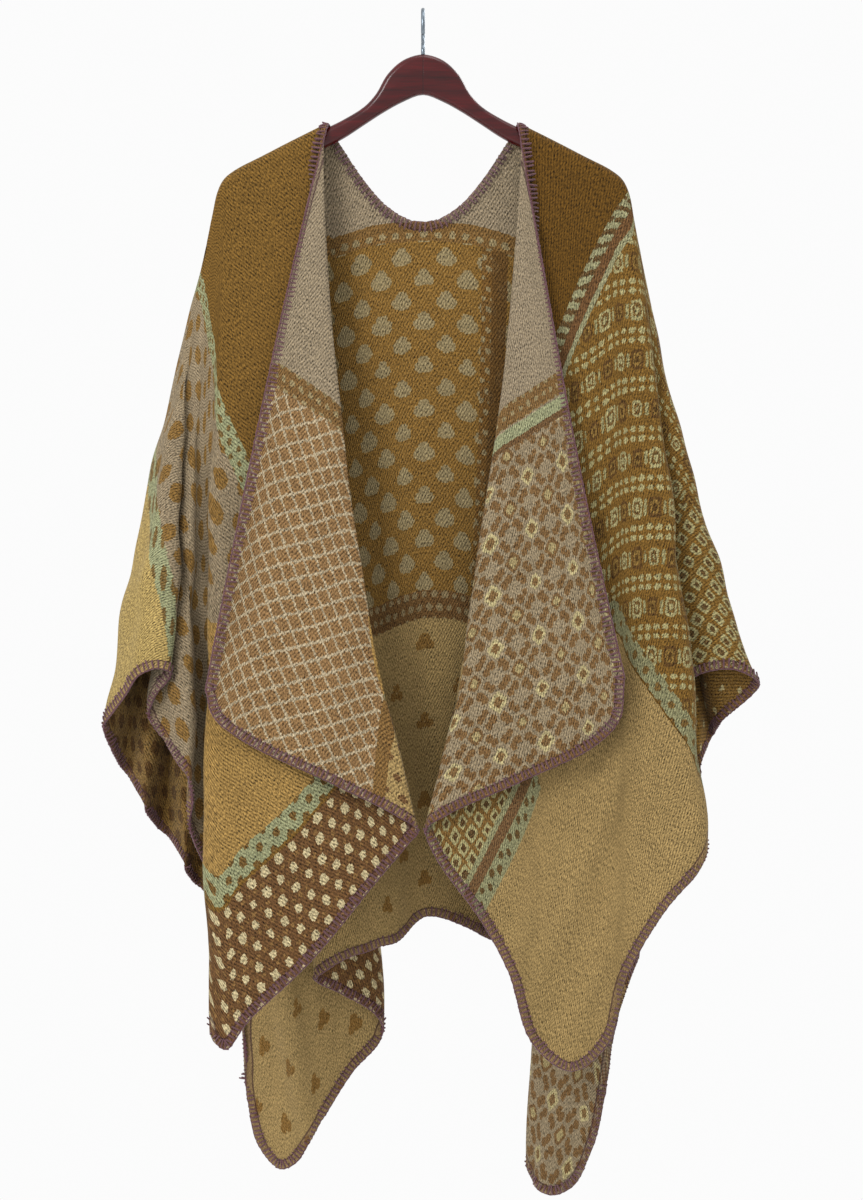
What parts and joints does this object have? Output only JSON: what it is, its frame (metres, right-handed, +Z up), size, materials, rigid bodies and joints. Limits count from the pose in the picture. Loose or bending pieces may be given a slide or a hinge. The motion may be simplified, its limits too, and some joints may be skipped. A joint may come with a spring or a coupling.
{
  "type": "poncho on a clothes hanger",
  "caption": "Open-front blanket poncho with turned-back fronts and stitched edges, hung in folds on a wooden hanger with a wire hook.",
  "frame": {"origin": "inside top of the hanger's hook, where a rail or peg carries it", "axes": "+Z up, -Y out of the garment's open front, +X to the viewer's right as the front is seen"},
  "size_m": [0.6573, 0.1724, 1.188],
  "materials": {
    "cloth_outer": "brushed double-faced jacquard knit, dark ochre side",
    "cloth_inner": "brushed double-faced jacquard knit, grey-beige side",
    "wood": "dark cherry lacquer",
    "wire": "plated steel wire"
  },
  "bodies": {
    "root": {"lapel_left": "cloth_inner", "front_left": "cloth_outer", "return_left": "cloth_outer", "fold_left": "cloth_outer", "sleeve_left": "cloth_outer", "side_left": "cloth_outer", "tail_left": "cloth_outer", "tail_left_fold": "cloth_outer", "back_left": "cloth_outer", "back_right": "cloth_outer", "tail_right_fold": "cloth_outer", "tail_right": "cloth_outer", "side_right": "cloth_outer", "sleeve_right": "cloth_outer", "fold_right": "cloth_outer", "front_right": "cloth_outer", "lapel_right": "cloth_inner", "yoke_left": "cloth_outer", "yoke_neck": "cloth_outer", "yoke_right": "cloth_outer", "hanger_wood": "wood", "hanger_hook": "wire"}
  },
  "joints": []
}
